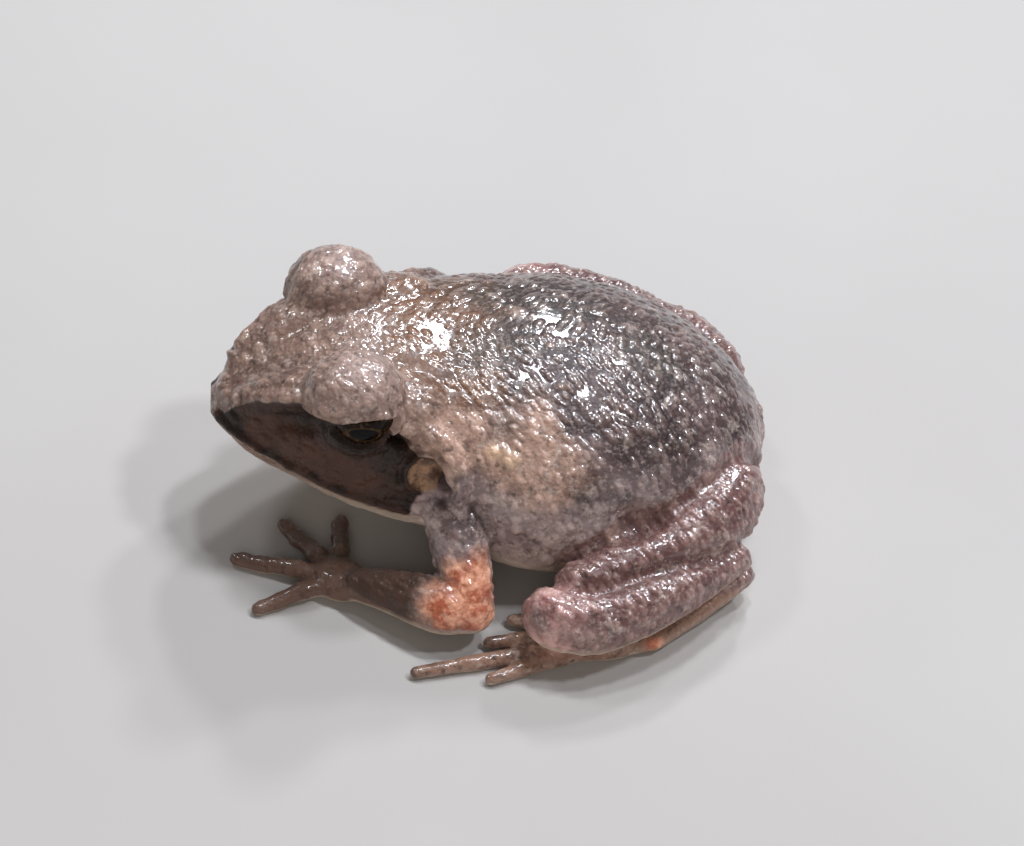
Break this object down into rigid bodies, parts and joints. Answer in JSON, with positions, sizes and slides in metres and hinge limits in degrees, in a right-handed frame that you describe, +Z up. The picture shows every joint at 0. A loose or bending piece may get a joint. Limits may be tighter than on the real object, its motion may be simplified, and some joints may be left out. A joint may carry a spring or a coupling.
{
  "type": "burrowing frog model",
  "caption": "Life-size still model of a burrowing frog, crouched on the floor with limbs folded, in head, trunk, ear, eye and limb pieces.",
  "frame": {"origin": "centre of the bounding box at the level of the floor the frog rests on", "axes": "+X towards the snout, +Y to the frog's left, +Z up"},
  "size_m": [0.047, 0.0464, 0.021],
  "materials": {
    "head_skin": "wet, finely warted skin",
    "trunk_skin": "wet, finely warted skin",
    "limb_skin": "wet, finely warted skin",
    "forearm_skin": "wet skin",
    "hand_skin": "wet smooth skin",
    "ear_skin": "satin skin",
    "eye": "polished"
  },
  "bodies": {
    "root": {"head": "head_skin", "torso": "trunk_skin", "eye_left": "eye", "eye_right": "eye", "ear_left": "ear_skin", "ear_right": "ear_skin", "upper_arm_left": "limb_skin", "upper_arm_right": "limb_skin", "forearm_left": "forearm_skin", "forearm_right": "forearm_skin", "hand_left": "hand_skin", "hand_right": "hand_skin", "thigh_left": "limb_skin", "thigh_right": "limb_skin", "shank_left": "limb_skin", "shank_right": "limb_skin", "foot_left": "hand_skin", "foot_right": "hand_skin"}
  },
  "joints": []
}
